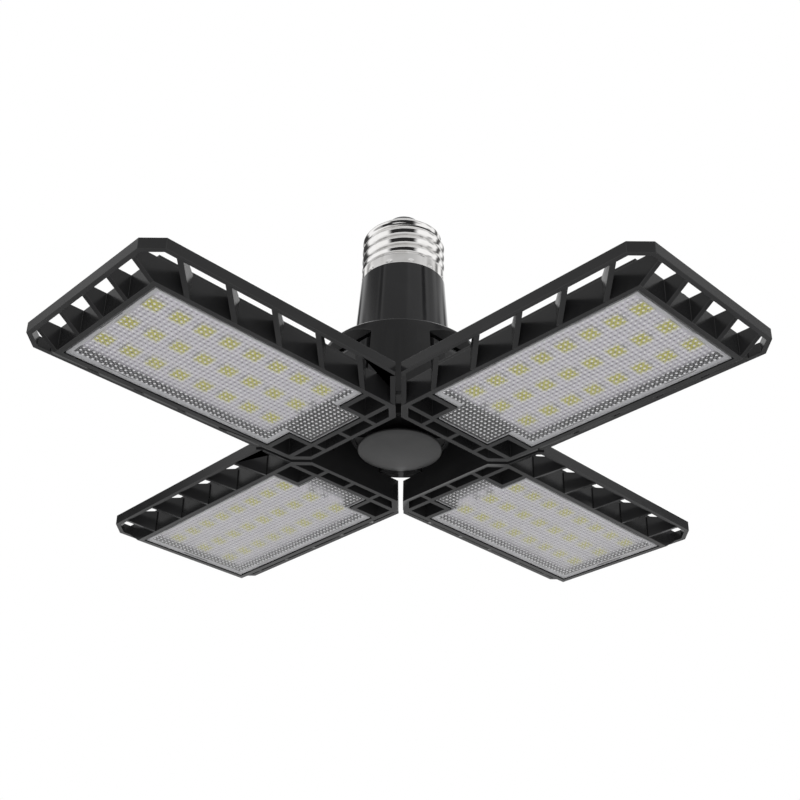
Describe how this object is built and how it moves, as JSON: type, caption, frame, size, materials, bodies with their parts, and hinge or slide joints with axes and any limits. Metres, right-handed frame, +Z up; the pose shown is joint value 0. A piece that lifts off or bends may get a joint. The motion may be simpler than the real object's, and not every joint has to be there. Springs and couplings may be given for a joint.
{
  "type": "folding garage light",
  "caption": "Screw-cap ceiling light with flat rectangular LED panels that fold up on hinges round a round central hub.",
  "frame": {"origin": "on the lamp's axis, in the plane where the metal screw shell meets the driver housing", "axes": "+Z up along the lamp's axis, out of the screw cap towards the lampholder; the four panels point along +X, +Y, -X and -Y"},
  "size_m": [0.22, 0.22, 0.0889],
  "materials": {
    "contact_metal": "satin",
    "cap_glass": "gloss",
    "shell_metal": "polished",
    "housing_plastic": "gloss",
    "black_metal": "matte",
    "black_plastic": "matte",
    "steel": "satin",
    "board_green": "satin",
    "ferrite": "matte",
    "coil_tape": "satin",
    "capacitor_sleeve": "gloss",
    "copper_wire": "satin",
    "chip_black": "matte",
    "resistor_green": "satin",
    "lead_red": "satin",
    "pad_grey": "matte",
    "board_white": "satin",
    "led_yellow": "satin",
    "seal_rubber": "matte",
    "lens_clear": "gloss",
    "bush_brass": "satin"
  },
  "bodies": {
    "hub": {"contact_tip": "contact_metal", "cap_insulator": "cap_glass", "screw_shell": "shell_metal", "driver_housing": "housing_plastic", "hub_body": "black_metal", "hub_floor": "black_plastic", "bottom_cap": "black_plastic", "cap_screw": "steel", "hub_screws": "steel", "hinge_pins": "steel", "hinge_washers": "steel", "driver_board": "board_green", "transformer_core": "ferrite", "transformer_coil": "coil_tape", "capacitors": "capacitor_sleeve", "choke": "copper_wire", "driver_chips": "chip_black", "fuse_resistor": "resistor_green", "cap_leads": "lead_red"},
    "right_panel": {"panel_frame_right": "black_metal", "heat_pad_right": "pad_grey", "led_board_right": "board_white", "leds_right": "led_yellow", "lens_seal_right": "seal_rubber", "lens_right": "lens_clear", "hinge_bushes_right": "bush_brass"},
    "back_panel": {"panel_frame_back": "black_metal", "heat_pad_back": "pad_grey", "led_board_back": "board_white", "leds_back": "led_yellow", "lens_seal_back": "seal_rubber", "lens_back": "lens_clear", "hinge_bushes_back": "bush_brass"},
    "left_panel": {"panel_frame_left": "black_metal", "heat_pad_left": "pad_grey", "led_board_left": "board_white", "leds_left": "led_yellow", "lens_seal_left": "seal_rubber", "lens_left": "lens_clear", "hinge_bushes_left": "bush_brass"},
    "front_panel": {"panel_frame_front": "black_metal", "heat_pad_front": "pad_grey", "led_board_front": "board_white", "leds_front": "led_yellow", "lens_seal_front": "seal_rubber", "lens_front": "lens_clear", "hinge_bushes_front": "bush_brass"}
  },
  "joints": [
    {"name": "right_panel_hinge", "type": "hinge", "parent": "hub", "child": "right_panel", "pos_m": [0.0198, 0, -0.0379], "axis": [0, -1, 0], "range_deg": [0, 90]},
    {"name": "back_panel_hinge", "type": "hinge", "parent": "hub", "child": "back_panel", "pos_m": [0, 0.0198, -0.0379], "axis": [1, 0, 0], "range_deg": [0, 90]},
    {"name": "left_panel_hinge", "type": "hinge", "parent": "hub", "child": "left_panel", "pos_m": [-0.0198, 0, -0.0379], "axis": [0, 1, 0], "range_deg": [0, 90]},
    {"name": "front_panel_hinge", "type": "hinge", "parent": "hub", "child": "front_panel", "pos_m": [0, -0.0198, -0.0379], "axis": [-1, 0, 0], "range_deg": [0, 90]}
  ]
}
